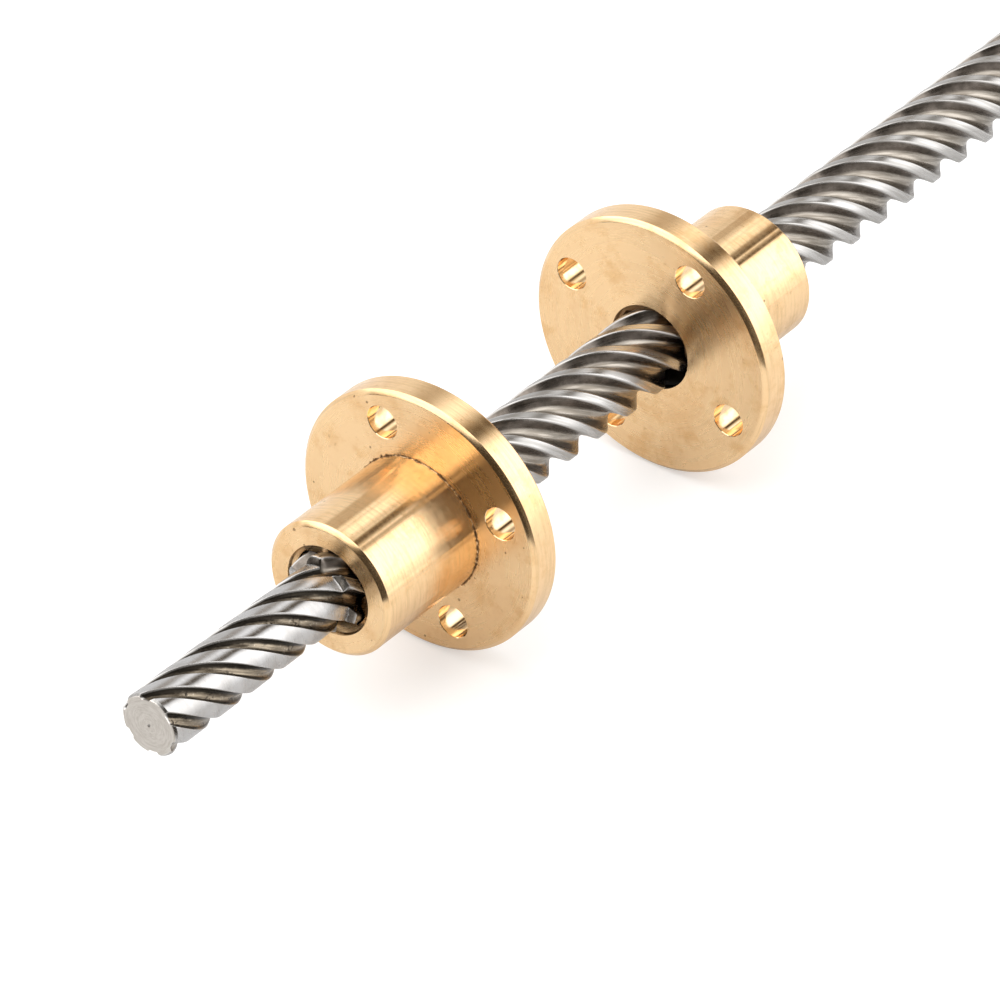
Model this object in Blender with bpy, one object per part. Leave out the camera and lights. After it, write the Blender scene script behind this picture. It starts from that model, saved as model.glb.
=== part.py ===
"""Six-start lead screw with two flanged brass nuts.

The screw lies along +X. The origin is the centre of its turned-down end face, and +Z is up.
The nuts face each other, flange to flange, and the whole lies on the rims of their flanges.
Every cross-section is a ring of points about the X axis, with its angles measured from +Y
towards +Z, so a ring whose angle grows with X makes a right-hand thread.
"""
import math

import bmesh
import bpy

# The screw, in metres.
SCREW_LENGTH = 0.150
JOURNAL_LENGTH = 0.0245
JOURNAL_RADIUS = 0.0032
NEAR_CHAMFER = 0.00025
FAR_CHAMFER = 0.0005

# The thread. A start's sides lean in from its foot to its crest.
STARTS = 6
LEAD = 0.0275
PITCH = LEAD / STARTS
CREST_RADIUS = 0.0040
ROOT_RADIUS = 0.0027
CREST_HALF_ANGLE = math.radians(9.2)
ROOT_HALF_ANGLE = math.radians(20.3)
THREAD_ANGLE = math.radians(51.6)
SLICE = PITCH / 3
HELIX_ANGLE = math.atan2(LEAD, math.tau * CREST_RADIUS)

# A nut.
HUB_RADIUS = 0.0070
HUB_LENGTH = 0.0133
FLANGE_RADIUS = 0.0137
FLANGE_THICKNESS = 0.0035
RIM_CHAMFER = 0.00045
HUB_MOUTH_RADIUS = 0.00468
FLANGE_MOUTH_RADIUS = 0.0045
NUT_MINOR_RADIUS = 0.0031
RUNNING_GAP = 0.00025
HOLE_COUNT = 4
HOLE_RADIUS = 0.0017
HOLE_CIRCLE_RADIUS = 0.0104

# Where the hub ends of the nuts are, which way each flange points, and the turn of the holes.
NUTS = (
    ("front_nut", 0.02555, 1, math.radians(67.0)),
    ("rear_nut", 0.09153, -1, math.radians(26.0)),
)

TURNED_SIDES = 64
HOLE_SIDES = 24
CUT_MARGIN = 0.001


def clear_scene():
    for old in list(bpy.data.objects):
        bpy.data.objects.remove(old, do_unlink=True)


def metal(name, color, roughness):
    material = bpy.data.materials.new(name)
    material.use_nodes = True
    shader = material.node_tree.nodes["Principled BSDF"]
    shader.inputs["Base Color"].default_value = (*color, 1.0)
    shader.inputs["Metallic"].default_value = 1.0
    shader.inputs["Roughness"].default_value = roughness
    return material


def circle(x, radius, sides, y=0.0, z=0.0):
    """A ring of points with a flat side at the bottom."""
    ring = []
    for index in range(sides):
        angle = math.tau * (index + 0.5) / sides
        ring.append((x, y + radius * math.cos(angle), z + radius * math.sin(angle)))
    return ring


def land_half_angle(radius):
    """Half the angle that one of the screw's starts takes up at this radius."""
    rise = (radius - ROOT_RADIUS) / (CREST_RADIUS - ROOT_RADIUS)
    return ROOT_HALF_ANGLE + rise * (CREST_HALF_ANGLE - ROOT_HALF_ANGLE)


def thread_ring(x, top_radius, bottom_radius=ROOT_RADIUS, side_gap=0.0):
    """The thread's cross-section at x between two radii, with its sides moved out by a gap."""
    top = land_half_angle(top_radius) + side_gap / top_radius
    bottom = land_half_angle(bottom_radius) + side_gap / bottom_radius
    corners = (
        (-bottom, bottom_radius),
        (-top, top_radius),
        (top, top_radius),
        (bottom, bottom_radius),
    )
    ring = []
    for start in range(STARTS):
        middle = THREAD_ANGLE + math.tau * (x / LEAD + start / STARTS)
        for turn, distance in corners:
            angle = middle + turn
            ring.append((x, distance * math.cos(angle), distance * math.sin(angle)))
    return ring


def solid(name, rings):
    """A closed solid skinned over rings that run from low x to high x."""
    mesh = bmesh.new()
    loops = [[mesh.verts.new(point) for point in ring] for ring in rings]
    for low, high in zip(loops, loops[1:]):
        for index in range(len(low)):
            after = (index + 1) % len(low)
            mesh.faces.new((low[index], low[after], high[index]))
            mesh.faces.new((low[after], high[after], high[index]))
    mesh.faces.new(list(reversed(loops[0])))
    mesh.faces.new(loops[-1])
    data = bpy.data.meshes.new(name)
    mesh.to_mesh(data)
    mesh.free()
    data.shade_smooth()
    data.set_sharp_from_angle(angle=math.radians(30))
    piece = bpy.data.objects.new(name, data)
    bpy.context.scene.collection.objects.link(piece)
    return piece


def slices_between(start, end):
    """The evenly spaced cross-sections that lie inside a stretch of the screw."""
    first = math.floor(start / SLICE) + 1
    last = math.ceil(end / SLICE) - 1
    return [SLICE * number for number in range(first, last + 1)]


def lead_screw():
    journal = [NEAR_CHAMFER, *slices_between(NEAR_CHAMFER, JOURNAL_LENGTH), JOURNAL_LENGTH]
    full_end = SCREW_LENGTH - FAR_CHAMFER
    full = [JOURNAL_LENGTH, *slices_between(JOURNAL_LENGTH, full_end), full_end]
    rings = [thread_ring(0.0, JOURNAL_RADIUS - NEAR_CHAMFER)]
    rings += [thread_ring(x, JOURNAL_RADIUS) for x in journal]
    rings += [thread_ring(x, CREST_RADIUS) for x in full]
    rings.append(thread_ring(SCREW_LENGTH, CREST_RADIUS - FAR_CHAMFER))
    return solid("lead_screw", rings)


def cut(piece, cutter):
    cutter.hide_render = True
    cutter.display_type = "WIRE"
    boolean = piece.modifiers.new(cutter.name, "BOOLEAN")
    boolean.operation = "DIFFERENCE"
    boolean.object = cutter


def countersink(name, face_x, outward, mouth_radius):
    """A 45 degree cone that opens outwards, past the face that it is sunk into."""
    inner_radius = ROOT_RADIUS
    inner_x = face_x - outward * (mouth_radius - inner_radius)
    outer_x = face_x + outward * CUT_MARGIN
    rings = [
        circle(inner_x, inner_radius, TURNED_SIDES),
        circle(outer_x, mouth_radius + CUT_MARGIN, TURNED_SIDES),
    ]
    return solid(name, rings[::outward])


def nut(name, hub_end, toward_flange, hole_turn):
    """A hub and a flange turned in one piece, threaded to run on the screw."""
    shoulder = HUB_LENGTH
    total = HUB_LENGTH + FLANGE_THICKNESS
    outline = (
        (0.0, HUB_RADIUS - RIM_CHAMFER),
        (RIM_CHAMFER, HUB_RADIUS),
        (shoulder, HUB_RADIUS),
        (shoulder, FLANGE_RADIUS - RIM_CHAMFER),
        (shoulder + RIM_CHAMFER, FLANGE_RADIUS),
        (total - RIM_CHAMFER, FLANGE_RADIUS),
        (total, FLANGE_RADIUS - RIM_CHAMFER),
    )
    rings = [
        circle(hub_end + toward_flange * along, radius, TURNED_SIDES)
        for along, radius in outline
    ]
    body = solid(name, rings[::toward_flange])

    flange_end = hub_end + toward_flange * total
    low = min(hub_end, flange_end) - SLICE
    high = max(hub_end, flange_end) + SLICE
    major_radius = CREST_RADIUS + RUNNING_GAP
    side_gap = RUNNING_GAP / math.sin(HELIX_ANGLE)
    thread = [
        thread_ring(x, major_radius, NUT_MINOR_RADIUS, side_gap)
        for x in slices_between(low, high)
    ]
    cut(body, solid(f"{name}_thread_cutter", thread))
    cut(body, countersink(f"{name}_hub_mouth", hub_end, -toward_flange, HUB_MOUTH_RADIUS))
    cut(body, countersink(f"{name}_flange_mouth", flange_end, toward_flange, FLANGE_MOUTH_RADIUS))

    for number in range(HOLE_COUNT):
        angle = hole_turn + math.tau * number / HOLE_COUNT
        y = HOLE_CIRCLE_RADIUS * math.cos(angle)
        z = HOLE_CIRCLE_RADIUS * math.sin(angle)
        drill = [circle(x, HOLE_RADIUS, HOLE_SIDES, y, z) for x in (low, high)]
        cut(body, solid(f"{name}_drill_{number + 1}", drill))
    return body


clear_scene()
screw = lead_screw()
screw.data.materials.append(metal("screw_steel", (0.60, 0.59, 0.57), 0.30))
brass = metal("nut_brass", (0.86, 0.66, 0.38), 0.32)
for name, hub_end, toward_flange, hole_turn in NUTS:
    nut(name, hub_end, toward_flange, hole_turn).data.materials.append(brass)
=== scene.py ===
"""Looks for the six-start lead screw with two flanged brass nuts."""
import math

import bmesh
import bpy
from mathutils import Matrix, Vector, noise


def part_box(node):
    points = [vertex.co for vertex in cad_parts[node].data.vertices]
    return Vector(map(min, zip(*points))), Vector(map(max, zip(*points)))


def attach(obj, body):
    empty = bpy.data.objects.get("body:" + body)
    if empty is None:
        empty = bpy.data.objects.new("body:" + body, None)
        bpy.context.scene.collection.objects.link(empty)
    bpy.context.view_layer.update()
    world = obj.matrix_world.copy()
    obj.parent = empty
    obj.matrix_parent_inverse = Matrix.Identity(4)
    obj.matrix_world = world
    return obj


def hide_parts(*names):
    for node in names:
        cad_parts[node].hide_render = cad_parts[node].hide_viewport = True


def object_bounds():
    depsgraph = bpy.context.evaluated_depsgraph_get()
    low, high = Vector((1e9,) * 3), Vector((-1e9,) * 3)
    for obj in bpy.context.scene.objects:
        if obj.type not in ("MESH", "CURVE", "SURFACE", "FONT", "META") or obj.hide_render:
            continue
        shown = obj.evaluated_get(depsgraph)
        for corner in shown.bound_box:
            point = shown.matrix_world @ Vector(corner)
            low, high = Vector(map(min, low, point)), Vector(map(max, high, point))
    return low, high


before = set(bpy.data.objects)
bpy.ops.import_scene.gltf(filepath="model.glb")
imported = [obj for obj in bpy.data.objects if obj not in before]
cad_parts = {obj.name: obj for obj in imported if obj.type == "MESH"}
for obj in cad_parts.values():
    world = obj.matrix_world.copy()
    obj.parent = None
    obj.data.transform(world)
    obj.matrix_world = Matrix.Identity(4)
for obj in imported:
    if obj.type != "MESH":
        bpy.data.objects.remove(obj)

cad_low, cad_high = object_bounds()
MM = 0.001

# Noise vectors are offset by Blender's random state, which is otherwise seeded with the time.
noise.seed_set(3)

# The thread, as the CAD model has it: six starts and a right-hand lead along +X.
STARTS = 6
LEAD = 27.5 * MM
CREST_RADIUS = 4.0 * MM
ROOT_RADIUS = 2.7 * MM
CREST_HALF_ANGLE = 9.2
ROOT_HALF_ANGLE = 20.3
THREAD_ANGLE = 51.6
JOURNAL_LENGTH = 24.5 * MM
JOURNAL_RADIUS = 3.2 * MM
END_CHAMFER = 0.25 * MM
FAR_CHAMFER = 0.5 * MM
SCREW_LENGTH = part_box("lead_screw")[1][0]

# A nut. Its outer radii are those of the flat sides of the CAD solid.
FLAT_SIDE = math.cos(math.pi / 64)
HUB_LENGTH = 13.3 * MM
HUB_RADIUS = 7.0 * MM * FLAT_SIDE
FLANGE_RADIUS = 13.7 * MM * FLAT_SIDE
RIM_CHAMFER = 0.45 * MM
HOLE_RADIUS = 1.7 * MM
HOLE_CIRCLE_RADIUS = 10.4 * MM
HUB_MOUTH_RADIUS = 4.68 * MM
FLANGE_MOUTH_RADIUS = 4.5 * MM
NUT_MAJOR_RADIUS = 4.2 * MM
NUT_MINOR_RADIUS = 3.1 * MM
NUT_SIDE_GAP = 0.25 * MM
JUNCTION_GROOVE = 0.06 * MM

# Each nut's node, the way from its hub to its flange along X, and the turn of its holes in degrees.
NUTS = (("front_nut", 1, 67.0), ("rear_nut", -1, 26.0))

# The material slots of a nut, and how far a cutter reaches past the face that it cuts.
FACED, DRILLED, TAPPED, TURNED = range(4)
BEYOND = 1.0 * MM

TURNED_SIDES = 192
HOLE_SIDES = 64
RING_STEP = 0.45 * MM
FINE_STEP = 0.08 * MM


# ---------------------------------------------------------------- meshes

def polar(x, radius, angle, y=0.0, z=0.0):
    return (x, y + radius * math.cos(angle), z + radius * math.sin(angle))


def circle(x, radius, sides=TURNED_SIDES, y=0.0, z=0.0):
    return [polar(x, radius, math.tau * (k + 0.5) / sides, y, z) for k in range(sides)]


def skin(name, rings, slot=0):
    """A closed solid over rings of points that run from low x to high x, in one material slot."""
    mesh = bmesh.new()
    loops = [[mesh.verts.new(point) for point in ring] for ring in rings]
    for low, high in zip(loops, loops[1:]):
        for index in range(len(low)):
            after = (index + 1) % len(low)
            mesh.faces.new((low[index], low[after], high[after], high[index]))
    mesh.faces.new(list(reversed(loops[0])))
    mesh.faces.new(loops[-1])
    for face in mesh.faces:
        face.material_index = slot
    data = bpy.data.meshes.new(name)
    mesh.to_mesh(data)
    mesh.free()
    for _ in range(slot + 1):
        data.materials.append(None)
    piece = bpy.data.objects.new(name, data)
    bpy.context.scene.collection.objects.link(piece)
    return piece


def finish_mesh(piece, sharp_degrees, materials):
    piece.data.shade_smooth()
    piece.data.set_sharp_from_angle(angle=math.radians(sharp_degrees))
    for slot, material in enumerate(materials):
        piece.data.materials[slot] = material


def ramp(zero_at, one_at, value):
    """0 at zero_at, 1 at one_at, a smooth step between them, and held on either side."""
    t = min(max((value - zero_at) / (one_at - zero_at), 0.0), 1.0)
    return t * t * (3.0 - 2.0 * t)


def rounded(corners, cuts, steps):
    """An open outline whose inner corners are replaced by short curves."""
    outline = [corners[0]]
    for before, corner, after, cut in zip(corners, corners[1:], corners[2:], cuts):
        here = Vector(corner)
        first = here + (Vector(before) - here).normalized() * cut
        last = here + (Vector(after) - here).normalized() * cut
        for step in range(steps + 1):
            t = step / steps
            point = first * (1 - t) ** 2 + here * 2 * t * (1 - t) + last * t * t
            outline.append((point.x, point.y))
    outline.append(corners[-1])
    return outline


# ---------------------------------------------------------------- thread

def half_angle(radius):
    """Half the angle, in degrees, that one start takes up at a radius."""
    rise = (radius - ROOT_RADIUS) / (CREST_RADIUS - ROOT_RADIUS)
    return ROOT_HALF_ANGLE + rise * (CREST_HALF_ANGLE - ROOT_HALF_ANGLE)


def half_profile(top, bottom, side_gap, edge_cut, foot_cut):
    """(angle, radius) from a start's middle to the next groove's middle."""
    top_angle = math.radians(half_angle(top)) + side_gap / top
    foot_angle = math.radians(half_angle(bottom)) + side_gap / bottom
    spots = (
        (0.45 * top_angle, top),
        (top_angle, top),
        (foot_angle, bottom),
        (math.pi / STARTS, bottom),
    )
    corners = [(r * math.cos(a), r * math.sin(a)) for a, r in spots]
    flank = math.dist(corners[1], corners[2])
    outline = rounded(corners, (min(edge_cut, 0.25 * flank), min(foot_cut, 0.6 * flank)), 3)
    return [(0.0, top)] + [(math.atan2(v, u), math.hypot(u, v)) for u, v in outline]


def thread_ring(x, tops, bottom=ROOT_RADIUS, side_gap=0.0, edge_cut=0.20 * MM, foot_cut=0.45 * MM):
    """The thread's cross-section at x, with a crest radius for each start."""
    ring = []
    for start, top in enumerate(tops):
        middle = math.radians(THREAD_ANGLE) + math.tau * (x / LEAD + start / STARTS)
        rolled = ramp(JOURNAL_RADIUS, CREST_RADIUS, top)
        crest_cut = edge_cut * (0.35 + 0.65 * rolled)
        half = half_profile(top, bottom, side_gap, crest_cut, foot_cut)
        left = [(-angle, radius) for angle, radius in reversed(half)]
        for angle, radius in left[:-1] + half[:-1]:
            ring.append(polar(x, radius, middle + angle))
    return ring


def steps_between(start, end, step):
    count = max(1, round((end - start) / step))
    return [start + (end - start) * k / count for k in range(count + 1)]


def shoulder_place(start):
    """Where one start's full height begins: the turning tool left each a little differently."""
    return JOURNAL_LENGTH + 0.18 * MM * noise.noise((3.1 * start, 7.7, 1.3))


def crest_radii(x):
    """Each start's crest radius at x, with the near chamfer, the shoulder and the far chamfer."""
    rise = 0.35 * MM
    full = CREST_RADIUS - JOURNAL_RADIUS
    tops = []
    for start in range(STARTS):
        place = shoulder_place(start)
        top = JOURNAL_RADIUS + full * ramp(place, place + rise, x)
        top -= END_CHAMFER * (1.0 - min(x / END_CHAMFER, 1.0))
        top -= FAR_CHAMFER * max(0.0, 1.0 - (SCREW_LENGTH - x) / FAR_CHAMFER)
        tops.append(top)
    return tops


def torn(point):
    """Pushes a point about where the turning tool tore the thread's ends."""
    x, y, z = point
    radius = math.hypot(y, z)
    from_shoulder = abs(x - JOURNAL_LENGTH - 0.25 * MM)
    near_shoulder = ramp(0.45 * MM, 0.1 * MM, from_shoulder)
    raised = ramp(JOURNAL_RADIUS - 0.1 * MM, JOURNAL_RADIUS + 0.1 * MM, radius)
    rough = noise.noise_vector(Vector(point) / (0.55 * MM)) * 0.10 * MM * near_shoulder * raised
    shrink = min(1.0, (CREST_RADIUS - 0.01 * MM) / max(radius, 1e-9))
    return (x + rough.x, (y + rough.y) * shrink, (z + rough.z) * shrink)


def end_face(ring, scales):
    """Rings that close a cross-section towards its middle, scaled and set off along x in turn."""
    rings = []
    for scale, depth in scales:
        rings.append([(x + depth, y * scale, z * scale) for x, y, z in ring])
    return rings


def make_screw(materials):
    shoulder_start = JOURNAL_LENGTH - 0.3 * MM
    shoulder_end = JOURNAL_LENGTH + 0.9 * MM
    places = steps_between(0.0, END_CHAMFER, END_CHAMFER / 2)
    places += steps_between(END_CHAMFER, shoulder_start, RING_STEP)[1:]
    places += steps_between(shoulder_start, shoulder_end, FINE_STEP)[1:]
    places += steps_between(shoulder_end, SCREW_LENGTH - FAR_CHAMFER, RING_STEP)[1:]
    places.append(SCREW_LENGTH)
    rings = [thread_ring(x, crest_radii(x)) for x in places]
    rings = [[torn(point) for point in ring] for ring in rings]
    centre = ((0.01, 0.10 * MM), (0.045, 0.06 * MM), (0.07, 0.0), (0.5, 0.0), (0.985, 0.0))
    near = end_face(rings[0], centre)
    far = end_face(rings[-1], [(scale, -depth) for scale, depth in reversed(centre)])
    screw = skin("screw_bar", near + rings + far)
    screw.data.materials.append(None)
    land_bottom = JOURNAL_RADIUS - 0.06 * MM
    land_end = JOURNAL_LENGTH - 0.1 * MM
    for face in screw.data.polygons:
        x, y, z = face.center
        turned_land = math.hypot(y, z) > land_bottom and x < land_end
        face.material_index = 0 if turned_land else 1
    finish_mesh(screw, 35, materials)
    return screw


# ---------------------------------------------------------------- nuts

def cut_away(piece, cutters):
    """Cuts the cutters out of a piece for good and removes them."""
    for cutter in cutters:
        boolean = piece.modifiers.new(cutter.name, "BOOLEAN")
        boolean.operation = "DIFFERENCE"
        boolean.object = cutter
    graph = bpy.context.evaluated_depsgraph_get()
    cut = bpy.data.meshes.new_from_object(piece.evaluated_get(graph))
    piece.modifiers.clear()
    piece.data = cut
    for cutter in cutters:
        bpy.data.objects.remove(cutter, do_unlink=True)


def turned(name, origin, outward, outline, slot=0, sides=TURNED_SIDES, y=0.0, z=0.0):
    """A turned solid whose outline runs along X from origin, with outward = 1 or -1."""
    rings = [circle(origin + outward * x, radius, sides, y, z) for x, radius in outline]
    return skin(name, rings[::outward], slot)


def nut_places(node, toward_flange):
    """Where along X a nut's hub ends, where its flange ends, and where the two meet."""
    low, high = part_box(node)
    hub_end, flange_end = (low[0], high[0])[::toward_flange]
    return hub_end, flange_end, hub_end + toward_flange * HUB_LENGTH


def nut_outline(total):
    """The nut's outline, from its hub's end to its flange's face, with a groove between them."""
    chamfer = RIM_CHAMFER
    edge = 0.06 * MM
    groove = JUNCTION_GROOVE
    corners = [
        (0.0, 0.0),
        (0.0, HUB_RADIUS - chamfer),
        (chamfer, HUB_RADIUS),
        (HUB_LENGTH - 2 * groove, HUB_RADIUS),
        (HUB_LENGTH - groove, HUB_RADIUS - groove),
        (HUB_LENGTH, HUB_RADIUS + groove),
        (HUB_LENGTH, FLANGE_RADIUS - chamfer),
        (HUB_LENGTH + chamfer, FLANGE_RADIUS),
        (total - chamfer, FLANGE_RADIUS),
        (total, FLANGE_RADIUS - chamfer),
        (total, 0.0),
    ]
    cuts = [edge, edge, groove / 3, groove / 3, groove / 3, edge, edge, edge, edge]
    return rounded(corners, cuts, 2)[1:-1]


def roughen_junction(body, shoulder):
    """Makes the groove where the hub meets the flange ragged."""
    for vertex in body.data.vertices:
        radius = math.hypot(vertex.co.y, vertex.co.z)
        near = abs(vertex.co.x - shoulder) < 0.15 * MM
        if near and radius < HUB_RADIUS + 2 * JUNCTION_GROOVE:
            burr = 1.0 + 0.07 * MM / radius * noise.noise(vertex.co / (0.35 * MM))
            vertex.co.y *= burr
            vertex.co.z *= burr


def thread_cutter(low_x, high_x):
    """The internal thread: the screw's own, with a gap on every side."""
    tops = [NUT_MAJOR_RADIUS] * STARTS
    sharp = 0.05 * MM
    rings = []
    for x in steps_between(low_x - BEYOND, high_x + BEYOND, RING_STEP):
        rings.append(thread_ring(x, tops, NUT_MINOR_RADIUS, NUT_SIDE_GAP, sharp, sharp))
    return skin("thread_cutter", rings, TAPPED)


def mouth_cutters(hub_end, flange_end, toward_flange):
    """A stepped countersink for the hub's mouth and a straight counterbore for the flange's."""
    bottom = NUT_MINOR_RADIUS - 0.6 * MM
    mouth = HUB_MOUTH_RADIUS
    stepped = [
        (-1.5 * MM, bottom),
        (-0.62 * MM, NUT_MAJOR_RADIUS - 0.1 * MM),
        (-0.30 * MM, mouth - 0.16 * MM),
        (-0.16 * MM, mouth - 0.12 * MM),
        (0.0, mouth),
        (BEYOND, mouth + BEYOND),
    ]
    hub_cutter = turned("hub_mouth_cutter", hub_end, -toward_flange, stepped, FACED)
    mouth = FLANGE_MOUTH_RADIUS
    straight = [
        (-1.7 * MM, bottom),
        (-0.8 * MM, mouth - 0.05 * MM),
        (-0.04 * MM, mouth - 0.04 * MM),
        (0.0, mouth),
        (BEYOND, mouth + BEYOND),
    ]
    flange_cutter = turned("flange_mouth_cutter", flange_end, toward_flange, straight, TAPPED)
    return [hub_cutter, flange_cutter]


def drills(shoulder, toward_flange, thickness, hole_turn):
    """Cutters for the flange's four holes, whose edges are barely broken."""
    broken = 0.05 * MM
    outline = [
        (-BEYOND, HOLE_RADIUS + BEYOND),
        (broken, HOLE_RADIUS),
        (thickness - broken, HOLE_RADIUS),
        (thickness + BEYOND, HOLE_RADIUS + BEYOND),
    ]
    cutters = []
    for number in range(4):
        angle = math.radians(hole_turn + 90 * number)
        y = HOLE_CIRCLE_RADIUS * math.cos(angle)
        z = HOLE_CIRCLE_RADIUS * math.sin(angle)
        cutters.append(turned("drill", shoulder, toward_flange, outline, DRILLED, HOLE_SIDES, y, z))
    return cutters


def make_nut(node, toward_flange, hole_turn, materials):
    hub_end, flange_end, shoulder = nut_places(node, toward_flange)
    low_x, high_x = sorted((hub_end, flange_end))
    total = high_x - low_x
    body = turned(f"{node}_brass", hub_end, toward_flange, nut_outline(total), FACED)
    roughen_junction(body, shoulder)
    for _ in materials[1:]:
        body.data.materials.append(None)
    for face in body.data.polygons:
        if abs(face.normal.x) < 0.9:
            face.material_index = TURNED
    cutters = [thread_cutter(low_x, high_x)]
    cutters += mouth_cutters(hub_end, flange_end, toward_flange)
    cutters += drills(shoulder, toward_flange, total - HUB_LENGTH, hole_turn)
    cut_away(body, cutters)
    finish_mesh(body, 22, materials)
    body.modifiers.new("flat_faces", "WEIGHTED_NORMAL").keep_sharp = True
    return body


# ---------------------------------------------------------------- materials

# How turned brass looks: its anisotropy, its smoothest and roughest, and how clear its tool lines are.
FACED_CUT = (0.88, 0.24, 0.31, 0.0)
TURNED_CUT = (0.75, 0.19, 0.27, 1.0)

# Colours. A pair is what a pattern runs between.
GOLD = ((0.98, 0.685, 0.385, 1), (0.88, 0.57, 0.285, 1))
PATINA = (0.80, 0.47, 0.21, 1)
FRECKLE = (0.50, 0.28, 0.12, 1)
TOOL_LINE = (0.62, 0.40, 0.19, 1)
PIT = (0.22, 0.12, 0.05, 1)
GRIME = (0.26, 0.15, 0.07, 1)
DRILLED_GOLD = ((0.95, 0.70, 0.43, 1), (0.85, 0.58, 0.30, 1))
# The tapped bore: a dim brass for the upper half of the flange mouth, where light falls, and
# near-black painted shade for the rest of the bore.
MOUTH_BRASS = ((0.60, 0.36, 0.17, 1), (0.75, 0.49, 0.26, 1))
BORE_SHADE = ((0.005, 0.004, 0.003, 1), (0.018, 0.012, 0.008, 1))

TURNED_STEEL = ((0.56, 0.55, 0.545, 1), (0.47, 0.455, 0.44, 1))
TURNED_LINE = (0.34, 0.325, 0.31, 1)
ROLLED_STEEL = ((0.54, 0.525, 0.51, 1), (0.41, 0.395, 0.375, 1))
GROOVE_FLOOR = ((0.13, 0.112, 0.095, 1), (0.22, 0.19, 0.165, 1))
# Near-black painted shade just under the journal's lands.
JOURNAL_GROOVE_SHADE = (0.03, 0.025, 0.02, 1)
GROOVE_FLANK = ((0.43, 0.39, 0.34, 1), (0.24, 0.21, 0.175, 1))
OILY_STEEL = ((0.33, 0.275, 0.205, 1), (0.10, 0.08, 0.058, 1))
DRY_OIL = (0.38, 0.33, 0.26, 1)
BRIGHT_SPECK = (0.55, 0.49, 0.40, 1)
OIL_CLOT = (0.045, 0.037, 0.028, 1)
# Near-black painted shade for the +X flank of the journal's grooves.
FLANK_SHADE = (0.012, 0.010, 0.008, 1)
FACED_STEEL = ((0.82, 0.775, 0.72, 1), (0.66, 0.61, 0.55, 1))


def add(tree, kind, inputs=None, **settings):
    """Adds a node, with its settings, and links or sets its inputs."""
    made = tree.nodes.new(kind)
    for name, value in settings.items():
        setattr(made, name, value)
    for name, value in (inputs or {}).items():
        if isinstance(value, bpy.types.NodeSocket):
            tree.links.new(value, made.inputs[name])
        else:
            made.inputs[name].default_value = value
    return made


def maths(tree, operation, *values):
    inputs = dict(enumerate(values))
    return add(tree, "ShaderNodeMath", inputs, operation=operation).outputs[0]


def smooth(tree, value, low, high, to_low=0.0, to_high=1.0):
    """A smooth step of a value from low to high, given out between two other values."""
    inputs = {0: value, 1: low, 2: high, 3: to_low, 4: to_high}
    made = add(tree, "ShaderNodeMapRange", inputs, interpolation_type="SMOOTHSTEP")
    return made.outputs[0]


def product(tree, first, second):
    return maths(tree, "MULTIPLY", first, second)


def mixed(tree, factor, first, second):
    """A mix of two colours."""
    made = add(tree, "ShaderNodeMix", data_type="RGBA")
    sockets = (made.inputs[0], made.inputs[6], made.inputs[7])
    for socket, value in zip(sockets, (factor, first, second)):
        if isinstance(value, bpy.types.NodeSocket):
            tree.links.new(value, socket)
        else:
            socket.default_value = value
    return made.outputs[2]


def grain(tree, place, scale, detail=2.0, roughness=0.5):
    inputs = {"Vector": place, "Scale": scale, "Detail": detail, "Roughness": roughness}
    return add(tree, "ShaderNodeTexNoise", inputs).outputs["Fac"]


def bumped(tree, height, distance, strength, below=None):
    inputs = {"Height": height, "Distance": distance, "Strength": strength}
    if below is not None:
        inputs["Normal"] = below
    return add(tree, "ShaderNodeBump", inputs).outputs[0]


def turned_coordinates(tree):
    """Object place, x, distance from the X axis and angle about it, all in metres or radians."""
    place = add(tree, "ShaderNodeTexCoord").outputs["Object"]
    split = add(tree, "ShaderNodeSeparateXYZ", {0: place})
    x, y, z = split.outputs
    across = maths(tree, "ADD", product(tree, y, y), product(tree, z, z))
    radius = maths(tree, "SQRT", across)
    angle = maths(tree, "ARCTAN2", z, y)
    return place, x, radius, angle


def lathe_lines(tree, x, radius, angle, drift, scale, detail=2.0, roughness=0.5):
    """Noise that changes fast along x and radius but slowly round the axis."""
    side = product(tree, maths(tree, "COSINE", angle), drift)
    upward = product(tree, maths(tree, "SINE", angle), drift)
    place = add(tree, "ShaderNodeCombineXYZ", {0: x, 1: radius, 2: side}).outputs[0]
    inputs = {"Vector": place, "W": upward, "Scale": scale, "Detail": detail, "Roughness": roughness}
    return add(tree, "ShaderNodeTexNoise", inputs, noise_dimensions="4D").outputs["Fac"]


def thread_phase(tree, x, angle):
    """The angle about the axis, less the thread's own turn up to x."""
    return maths(tree, "SUBTRACT", angle, product(tree, x, math.tau / LEAD))


def thread_lines(tree, x, radius, angle, drift):
    """A place that changes fast across the thread but slowly along it."""
    phase = thread_phase(tree, x, angle)
    side = product(tree, maths(tree, "COSINE", phase), radius)
    upward = product(tree, maths(tree, "SINE", phase), radius)
    slow = product(tree, x, drift)
    return add(tree, "ShaderNodeCombineXYZ", {0: side, 1: upward, 2: slow}).outputs[0]


def new_metal(name, anisotropic=0.0):
    """A metal whose highlights spread across the turning lines."""
    material = bpy.data.materials.new(name)
    material.use_nodes = True
    tree = material.node_tree
    shader = tree.nodes["Principled BSDF"]
    shader.inputs["Metallic"].default_value = 1.0
    if anisotropic:
        shader.inputs["Anisotropic"].default_value = anisotropic
        shader.inputs["Anisotropic Rotation"].default_value = 0.25
        tangent = add(tree, "ShaderNodeTangent", direction_type="RADIAL", axis="X")
        tree.links.new(tangent.outputs[0], shader.inputs["Tangent"])
    return material, tree, shader


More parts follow.
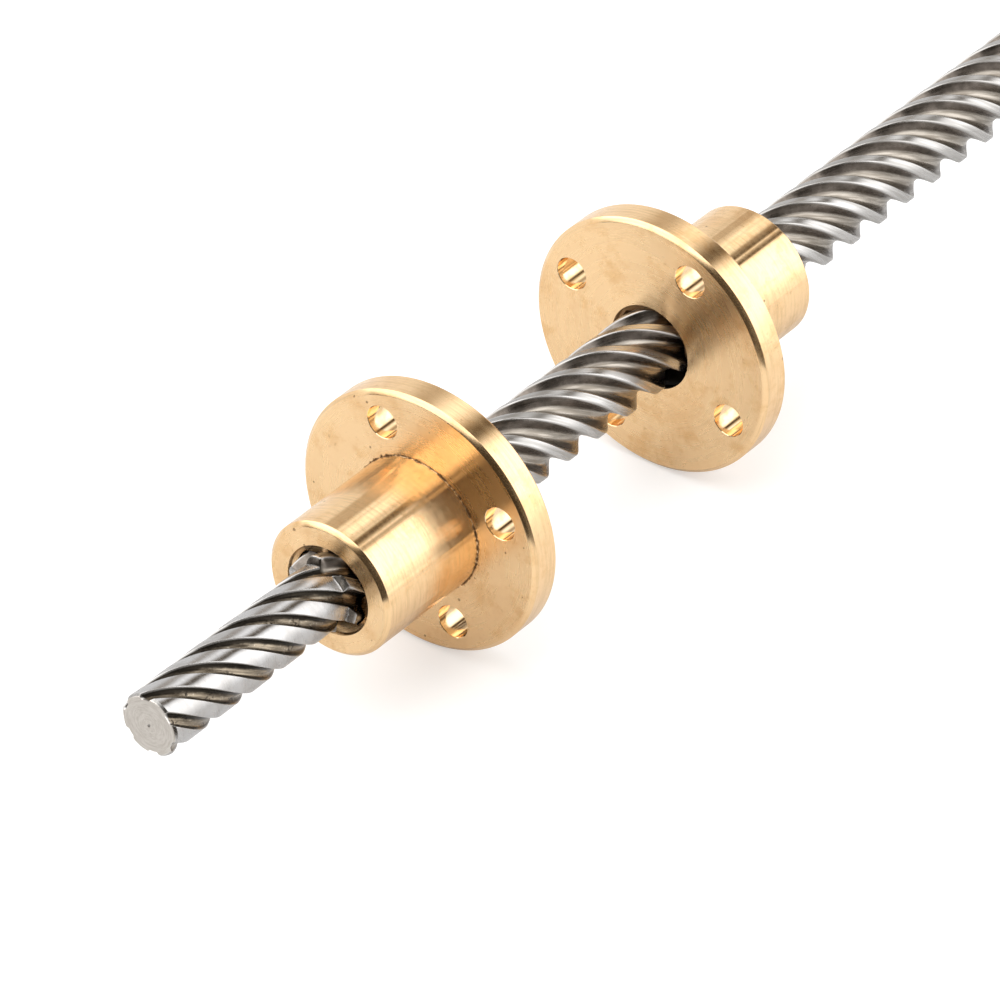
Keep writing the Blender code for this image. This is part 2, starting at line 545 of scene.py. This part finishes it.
def brass_pits(tree, place, patina):
    """0 on sound brass and up to 0.7 in small pits, most of them where the patina is."""
    cell = add(tree, "ShaderNodeTexVoronoi", {"Vector": place, "Scale": 900.0, "Randomness": 1.0})
    chance = add(tree, "ShaderNodeSeparateColor", {0: cell.outputs["Color"]}).outputs[0]
    spot_size = smooth(tree, chance, 0.72, 1.0, 0.0, 0.13)
    spot_size = product(tree, spot_size, smooth(tree, patina, 0.40, 0.62, 0.3, 1.4))
    inward = maths(tree, "SUBTRACT", spot_size, cell.outputs["Distance"])
    return product(tree, smooth(tree, inward, 0.0, 0.06), 0.7)


def junction_grime(tree, place, x, radius, shoulder_x):
    """1 in the ragged dirt round the foot of the hub, where it meets the flange."""
    from_shoulder = maths(tree, "ABSOLUTE", maths(tree, "SUBTRACT", x, shoulder_x))
    from_hub = maths(tree, "SUBTRACT", radius, HUB_RADIUS)
    squares = [maths(tree, "POWER", way, 2.0) for way in (from_shoulder, from_hub)]
    gap = maths(tree, "SQRT", maths(tree, "ADD", *squares))
    ragged = product(tree, grain(tree, place, 2200.0, 4.0, 0.7), 1.1 * MM)
    return smooth(tree, maths(tree, "SUBTRACT", gap, ragged), -0.36 * MM, -0.52 * MM)


def brass_turned(name, shoulder_x, anisotropic, smoothest, roughest, brushed):
    """Turned brass: brushed is 0 for a smooth cut and 1 for one with clear tool lines."""
    material, tree, shader = new_metal(name, anisotropic)
    place, x, radius, angle = turned_coordinates(tree)
    fine = lathe_lines(tree, x, radius, angle, 0.0006, 4500.0, 3.0, 0.6)
    broad = lathe_lines(tree, x, radius, angle, 0.0012, 1300.0, 3.0)
    blotch = grain(tree, place, 330.0, 6.0, 0.7)
    patina = grain(tree, place, 130.0, 5.0, 0.65)

    gold = mixed(tree, smooth(tree, blotch, 0.48, 0.68), *GOLD)
    gold = mixed(tree, smooth(tree, patina, 0.50, 0.72, 0.0, 0.5), gold, PATINA)
    freckle = smooth(tree, grain(tree, place, 1500.0, 3.0, 0.6), 0.62, 0.72, 0.0, 0.45)
    freckle = product(tree, freckle, smooth(tree, blotch, 0.45, 0.65, 0.25, 1.0))
    gold = mixed(tree, freckle, gold, FRECKLE)
    streak = smooth(tree, fine, 0.42, 0.72, 0.0, 0.02 + 0.33 * brushed)
    gold = mixed(tree, streak, gold, TOOL_LINE)
    pit = brass_pits(tree, place, patina)
    gold = mixed(tree, pit, gold, PIT)
    grime = junction_grime(tree, place, x, radius, shoulder_x)
    gold = mixed(tree, grime, gold, GRIME)
    tree.links.new(gold, shader.inputs["Base Color"])

    rubs = add(tree, "ShaderNodeMix", {0: 0.3 + 0.5 * brushed, 2: broad, 3: fine}).outputs[0]
    shine = smooth(tree, rubs, 0.35, 0.65, smoothest, roughest)
    shine = maths(tree, "MAXIMUM", shine, product(tree, grime, 0.7))
    tree.links.new(shine, shader.inputs["Roughness"])
    sound = maths(tree, "SUBTRACT", 1.0, maths(tree, "MAXIMUM", pit, grime))
    bump = bumped(tree, fine, 0.010 * MM, 0.02 + 0.2 * brushed)
    bump = bumped(tree, grain(tree, place, 260.0, 1.0), 0.02 * MM, 0.12, bump)
    bump = bumped(tree, sound, 0.03 * MM, 0.6, bump)
    tree.links.new(bump, shader.inputs["Normal"])
    return material


def brass_drilled():
    material, tree, shader = new_metal("brass_drilled")
    place = turned_coordinates(tree)[0]
    wear = grain(tree, place, 900.0, 3.0)
    gold = mixed(tree, smooth(tree, wear, 0.4, 0.7), *DRILLED_GOLD)
    tree.links.new(gold, shader.inputs["Base Color"])
    tree.links.new(smooth(tree, wear, 0.3, 0.7, 0.08, 0.17), shader.inputs["Roughness"])
    tree.links.new(bumped(tree, wear, 0.02 * MM, 0.3), shader.inputs["Normal"])
    return material


def brass_tapped(name, mouth_x):
    """The nut's thread, painted near-black as shade deep in the bore; only the upper half of its
    flange mouth at mouth_x is painted as dim brass, where light falls.
    """
    material, tree, shader = new_metal(name)
    place, x, _, angle = turned_coordinates(tree)
    wear = grain(tree, place, 1200.0, 4.0, 0.6)
    depth = maths(tree, "ABSOLUTE", maths(tree, "SUBTRACT", x, mouth_x))
    near_mouth = smooth(tree, depth, 3.0 * MM, 1.6 * MM)
    # Painted light and shade: the mouth's upper half keeps a dim brass colour and the rest of the bore
    # is painted near-black.
    upper = smooth(tree, maths(tree, "SINE", angle), -0.3, 0.3)
    lit_mouth = product(tree, near_mouth, upper)
    color = mixed(tree, lit_mouth, mixed(tree, wear, *BORE_SHADE), mixed(tree, wear, *MOUTH_BRASS))
    tree.links.new(color, shader.inputs["Base Color"])
    tree.links.new(product(tree, lit_mouth, 0.3), shader.inputs["Metallic"])
    shader.inputs["Specular IOR Level"].default_value = 0.12
    tree.links.new(smooth(tree, wear, 0.3, 0.7, 0.30, 0.45), shader.inputs["Roughness"])
    tree.links.new(bumped(tree, wear, 0.04 * MM, 0.4), shader.inputs["Normal"])
    return material


def steel_turned():
    """The flats that the turning tool left on the thread's starts."""
    material, tree, shader = new_metal("steel_turned", 0.8)
    place, x, radius, angle = turned_coordinates(tree)
    fine = lathe_lines(tree, x, radius, angle, 0.0008, 3500.0, 2.0)
    smear = grain(tree, place, 400.0, 3.0)
    color = mixed(tree, smooth(tree, smear, 0.35, 0.7), *TURNED_STEEL)
    color = mixed(tree, smooth(tree, fine, 0.4, 0.7, 0.0, 0.1), color, TURNED_LINE)
    tree.links.new(color, shader.inputs["Base Color"])
    tree.links.new(smooth(tree, fine, 0.3, 0.7, 0.22, 0.28), shader.inputs["Roughness"])
    tree.links.new(bumped(tree, fine, 0.006 * MM, 0.12), shader.inputs["Normal"])
    return material


def journal_oil_and_shade(tree, place, x, angle, coarse, speck, drawn):
    """The colour of the turned-down end's grooves: oily, with near-black painted shade on each
    groove's +X flank.
    """
    color = mixed(tree, smooth(tree, drawn, 0.35, 0.65), *OILY_STEEL)
    color = mixed(tree, smooth(tree, coarse, 0.56, 0.66, 0.0, 0.5), color, DRY_OIL)
    color = mixed(tree, smooth(tree, speck, 0.64, 0.72), color, BRIGHT_SPECK)
    clotted = smooth(tree, grain(tree, place, 520.0, 2.0), 0.52, 0.64)
    clotted = product(tree, clotted, smooth(tree, speck, 0.50, 0.44))
    color = mixed(tree, clotted, color, OIL_CLOT)
    # Painted shade: each groove's +X flank, the upper one in view, is darkened towards near-black.
    turn = maths(tree, "SUBTRACT", thread_phase(tree, x, angle), math.radians(THREAD_ANGLE))
    flank = maths(tree, "SINE", product(tree, turn, STARTS))
    flank = maths(tree, "ADD", flank, maths(tree, "MULTIPLY_ADD", coarse, 0.9, -0.45))
    return mixed(tree, smooth(tree, flank, 0.12, 0.75, 0.0, 0.95), color, FLANK_SHADE)


def steel_rolled():
    """The thread as it was rolled, with oily dirt and painted shade in its grooves, and the bar's
    machined ends.
    """
    material, tree, shader = new_metal("steel_rolled")
    place, x, radius, angle = turned_coordinates(tree)
    coarse = grain(tree, place, 1100.0, 4.0, 0.6)
    speck = grain(tree, place, 3600.0, 3.0, 0.6)
    drawn = grain(tree, thread_lines(tree, x, radius, angle, 0.10), 2600.0, 4.0, 0.6)

    journal = smooth(tree, x, JOURNAL_LENGTH - 0.1 * MM, JOURNAL_LENGTH + 0.3 * MM, 1.0, 0.0)
    land_radius = smooth(tree, journal, 0.0, 1.0, CREST_RADIUS, JOURNAL_RADIUS)
    depth = maths(tree, "SUBTRACT", land_radius, radius)
    groove = smooth(tree, depth, 0.03 * MM, 0.25 * MM)
    from_end = maths(tree, "MINIMUM", x, maths(tree, "SUBTRACT", SCREW_LENGTH, x))
    groove = product(tree, groove, smooth(tree, from_end, 0.05 * MM, 0.3 * MM))
    bottom = smooth(tree, radius, ROOT_RADIUS + 0.45 * MM, ROOT_RADIUS + 0.08 * MM)

    clean = mixed(tree, smooth(tree, drawn, 0.35, 0.65), *ROLLED_STEEL)
    # Just below the lands the grooves are darker, partly oily dirt and partly painted shade; on the
    # turned-down end this is near-black painted shade.
    stain_and_shade = mixed(tree, smooth(tree, coarse, 0.3, 0.7), *GROOVE_FLOOR)
    stain_and_shade = mixed(tree, journal, stain_and_shade, JOURNAL_GROOVE_SHADE)
    rubbed = mixed(tree, smooth(tree, drawn, 0.38, 0.62), *GROOVE_FLANK)
    oil_and_shade = journal_oil_and_shade(tree, place, x, angle, coarse, speck, drawn)
    rubbed = mixed(tree, journal, rubbed, oil_and_shade)
    color = mixed(tree, groove, clean, mixed(tree, bottom, stain_and_shade, rubbed))
    face = smooth(tree, from_end, 0.02 * MM, 0.10 * MM, 1.0, 0.0)
    rings = lathe_lines(tree, x, radius, angle, 0.0004, 5000.0, 3.0, 0.7)
    matt = mixed(tree, smooth(tree, rings, 0.3, 0.7), *FACED_STEEL)
    color = mixed(tree, face, color, matt)
    tree.links.new(color, shader.inputs["Base Color"])

    shine = smooth(tree, drawn, 0.3, 0.7, 0.23, 0.34)
    shine = maths(tree, "MAXIMUM", shine, product(tree, face, 0.5))
    tree.links.new(shine, shader.inputs["Roughness"])
    gritty = product(tree, speck, product(tree, groove, journal))
    bump = bumped(tree, drawn, 0.02 * MM, 0.15)
    bump = bumped(tree, coarse, 0.03 * MM, 0.08, bump)
    bump = bumped(tree, gritty, 0.03 * MM, 0.5, bump)
    bump = bumped(tree, product(tree, rings, face), 0.01 * MM, 0.5, bump)
    tree.links.new(bump, shader.inputs["Normal"])
    return material


# ---------------------------------------------------------------- studio

# How bright the studio is in directions towards +X, by the angle about X in degrees: 0 is towards
# +Y and 90 is towards +Z.
SOFT_BOXES = (
    (-180, 1.9), (-165, 1.4), (-140, 1.3), (-60, 1.25), (-25, 1.3), (10, 1.15), (34, 1.15),
    (46, 0.65), (57, 0.60), (66, 1.2), (74, 1.9), (80, 1.9), (87, 1.2), (92, 0.7), (96, 0.2),
    (100, 0.10), (106, 0.10), (110, 0.9), (114, 1.6), (120, 2.4), (130, 2.8), (160, 2.8), (180, 1.9),
)
BRIGHTEST_BOX = 2.8
NEAR_BOX = 3.0
FLOOR_LEVEL = 1.25
ROOM_LEVEL = 0.05
BACKDROP_LEVEL = 1.25
ROOM_TINT = (0.8, 0.60, 0.38, 1)
BOX_TINT = (0.8, 0.8, 0.8, 1)
PAPER = (0.6, 0.6, 0.6, 1)
PAPER_GLOW = 0.12
PAPER_GLOW_SEEN = 0.34
PAPER_MARGIN = 50 * MM
PAPER_OVERHANG = 8 * MM
FLOOR_REACH = 4.0
LAMP_SIZE = 1.2
LAMP_POWER = 4.0
LAMP_PLACE = (0.05, 0.35, 1.1)
LAMP_TARGET = (0.06, 0, 0)
LENS = 277.63
CAMERA_PLACE = (-0.41308, -0.35687, 0.41846)
CAMERA_FORWARD = (0.64279, 0.49395, -0.58553)


def make_floor():
    """White paper, of which only the sheet under the part shows in its metal."""
    material = bpy.data.materials.new("white_paper")
    material.use_nodes = True
    tree = material.node_tree
    shader = tree.nodes["Principled BSDF"]
    shader.inputs["Base Color"].default_value = PAPER
    shader.inputs["Emission Color"].default_value = (1, 1, 1, 1)
    seen = add(tree, "ShaderNodeLightPath").outputs["Is Camera Ray"]
    glow = maths(tree, "MULTIPLY_ADD", seen, PAPER_GLOW_SEEN, PAPER_GLOW)
    tree.links.new(glow, shader.inputs["Emission Strength"])
    shader.inputs["Roughness"].default_value = 0.9
    shader.inputs["Specular IOR Level"].default_value = 0.0

    bottom = cad_low[2]
    inner = [
        (cad_low[0] - PAPER_OVERHANG, cad_low[1] - PAPER_MARGIN),
        (cad_high[0] + PAPER_MARGIN, cad_high[1] + PAPER_MARGIN),
    ]
    outer = [(-FLOOR_REACH, -FLOOR_REACH), (FLOOR_REACH, FLOOR_REACH)]
    corners = ((0, 0), (1, 0), (1, 1), (0, 1))
    sheet = [(inner[i][0], inner[j][1], bottom) for i, j in corners]
    edge = [(outer[i][0], outer[j][1], bottom) for i, j in corners]
    frames = [(edge[k], edge[(k + 1) % 4], sheet[(k + 1) % 4], sheet[k]) for k in range(4)]
    for name, faces, shown in (("paper_sheet", [sheet], True), ("floor", frames, False)):
        mesh = bmesh.new()
        for face in faces:
            mesh.faces.new([mesh.verts.new(point) for point in face])
        data = bpy.data.meshes.new(name)
        mesh.to_mesh(data)
        mesh.free()
        data.materials.append(material)
        floor = bpy.data.objects.new(name, data)
        floor.visible_glossy = shown
        bpy.context.scene.collection.objects.link(floor)


def box_levels(tree, y, z):
    """The brightness of the soft boxes in a direction, from the table of their levels."""
    turn = maths(tree, "ARCTAN2", z, y)
    turn = maths(tree, "MULTIPLY_ADD", turn, 0.5 / math.pi, 0.5)
    boxes = add(tree, "ShaderNodeValToRGB", {0: turn})
    boxes.color_ramp.interpolation = "LINEAR"
    elements = boxes.color_ramp.elements
    for number, (degrees, level) in enumerate(SOFT_BOXES):
        position = degrees / 360 + 0.5
        if number < 2:
            element = elements[number]
            element.position = position
        else:
            element = elements.new(position)
        shade = level / BRIGHTEST_BOX
        element.color = (shade, shade, shade, 1)
    return product(tree, boxes.outputs[0], BRIGHTEST_BOX)


def near_levels(tree, x, y, z):
    """A soft box above, the paper's light below, and between them the dark room."""
    sideways = maths(tree, "ARCTAN2", y, product(tree, x, -1.0))
    box_edge = maths(tree, "MULTIPLY_ADD", sideways, -0.28, 0.655)
    floor_edge = maths(tree, "MAXIMUM", maths(tree, "MULTIPLY_ADD", sideways, 0.75, -0.63), -0.50)
    above_edge = smooth(tree, maths(tree, "SUBTRACT", z, box_edge), -0.03, 0.04)
    above_floor = smooth(tree, maths(tree, "SUBTRACT", z, floor_edge), -0.04, 0.03)
    room = smooth(tree, above_floor, 0.0, 1.0, FLOOR_LEVEL, ROOM_LEVEL)
    return add(tree, "ShaderNodeMix", {0: above_edge, 2: room, 3: NEAR_BOX}).outputs[0]


def make_world():
    """The studio that the metal reflects: one part for directions towards -X, another towards +X."""
    world = bpy.data.worlds.new("studio")
    bpy.context.scene.world = world
    world.use_nodes = True
    tree = world.node_tree
    tree.nodes.clear()
    direction = add(tree, "ShaderNodeTexCoord").outputs["Generated"]
    split = add(tree, "ShaderNodeSeparateXYZ", {0: direction})
    x, y, z = split.outputs

    beyond = box_levels(tree, y, z)
    near = near_levels(tree, x, y, z)
    side = smooth(tree, maths(tree, "MULTIPLY_ADD", y, -0.35, x), -0.12, 0.12)
    level = add(tree, "ShaderNodeMix", {0: side, 2: near, 3: beyond}).outputs[0]
    seen = add(tree, "ShaderNodeLightPath").outputs["Is Camera Ray"]
    level = add(tree, "ShaderNodeMix", {0: seen, 2: level, 3: BACKDROP_LEVEL}).outputs[0]
    tint = mixed(tree, smooth(tree, level, 0.05, 1.1), ROOM_TINT, BOX_TINT)
    background = add(tree, "ShaderNodeBackground", {"Color": tint, "Strength": level})
    output = add(tree, "ShaderNodeOutputWorld")
    tree.links.new(background.outputs[0], output.inputs[0])


def make_light():
    data = bpy.data.lights.new("overhead", "AREA")
    data.shape = "RECTANGLE"
    data.size = LAMP_SIZE
    data.size_y = LAMP_SIZE
    data.energy = LAMP_POWER
    lamp = bpy.data.objects.new("overhead", data)
    lamp.location = LAMP_PLACE
    downward = Vector(LAMP_TARGET) - lamp.location
    lamp.rotation_euler = downward.to_track_quat("-Z", "Y").to_euler()
    lamp.visible_glossy = False
    bpy.context.scene.collection.objects.link(lamp)


def make_camera():
    data = bpy.data.cameras.new("camera")
    data.lens = LENS
    data.sensor_width = 36.0
    data.clip_start = 0.01
    camera = bpy.data.objects.new("camera", data)
    camera.location = CAMERA_PLACE
    forward = Vector(CAMERA_FORWARD)
    camera.rotation_euler = forward.to_track_quat("-Z", "Y").to_euler()
    bpy.context.scene.collection.objects.link(camera)
    bpy.context.scene.camera = camera


# ---------------------------------------------------------------- assembly

make_camera()
make_world()
make_light()
make_floor()

screw = make_screw((steel_turned(), steel_rolled()))
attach(screw, "screw")
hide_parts("lead_screw")

for node, toward_flange, hole_turn in NUTS:
    _, flange_end, shoulder_x = nut_places(node, toward_flange)
    materials = (
        brass_turned(f"{node}_faced", shoulder_x, *FACED_CUT),
        brass_drilled(),
        brass_tapped(f"{node}_tapped", flange_end),
        brass_turned(f"{node}_turned", shoulder_x, *TURNED_CUT),
    )
    piece = make_nut(node, toward_flange, hole_turn, materials)
    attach(piece, node)
    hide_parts(node)

bpy.context.scene.view_settings.view_transform = "Standard"
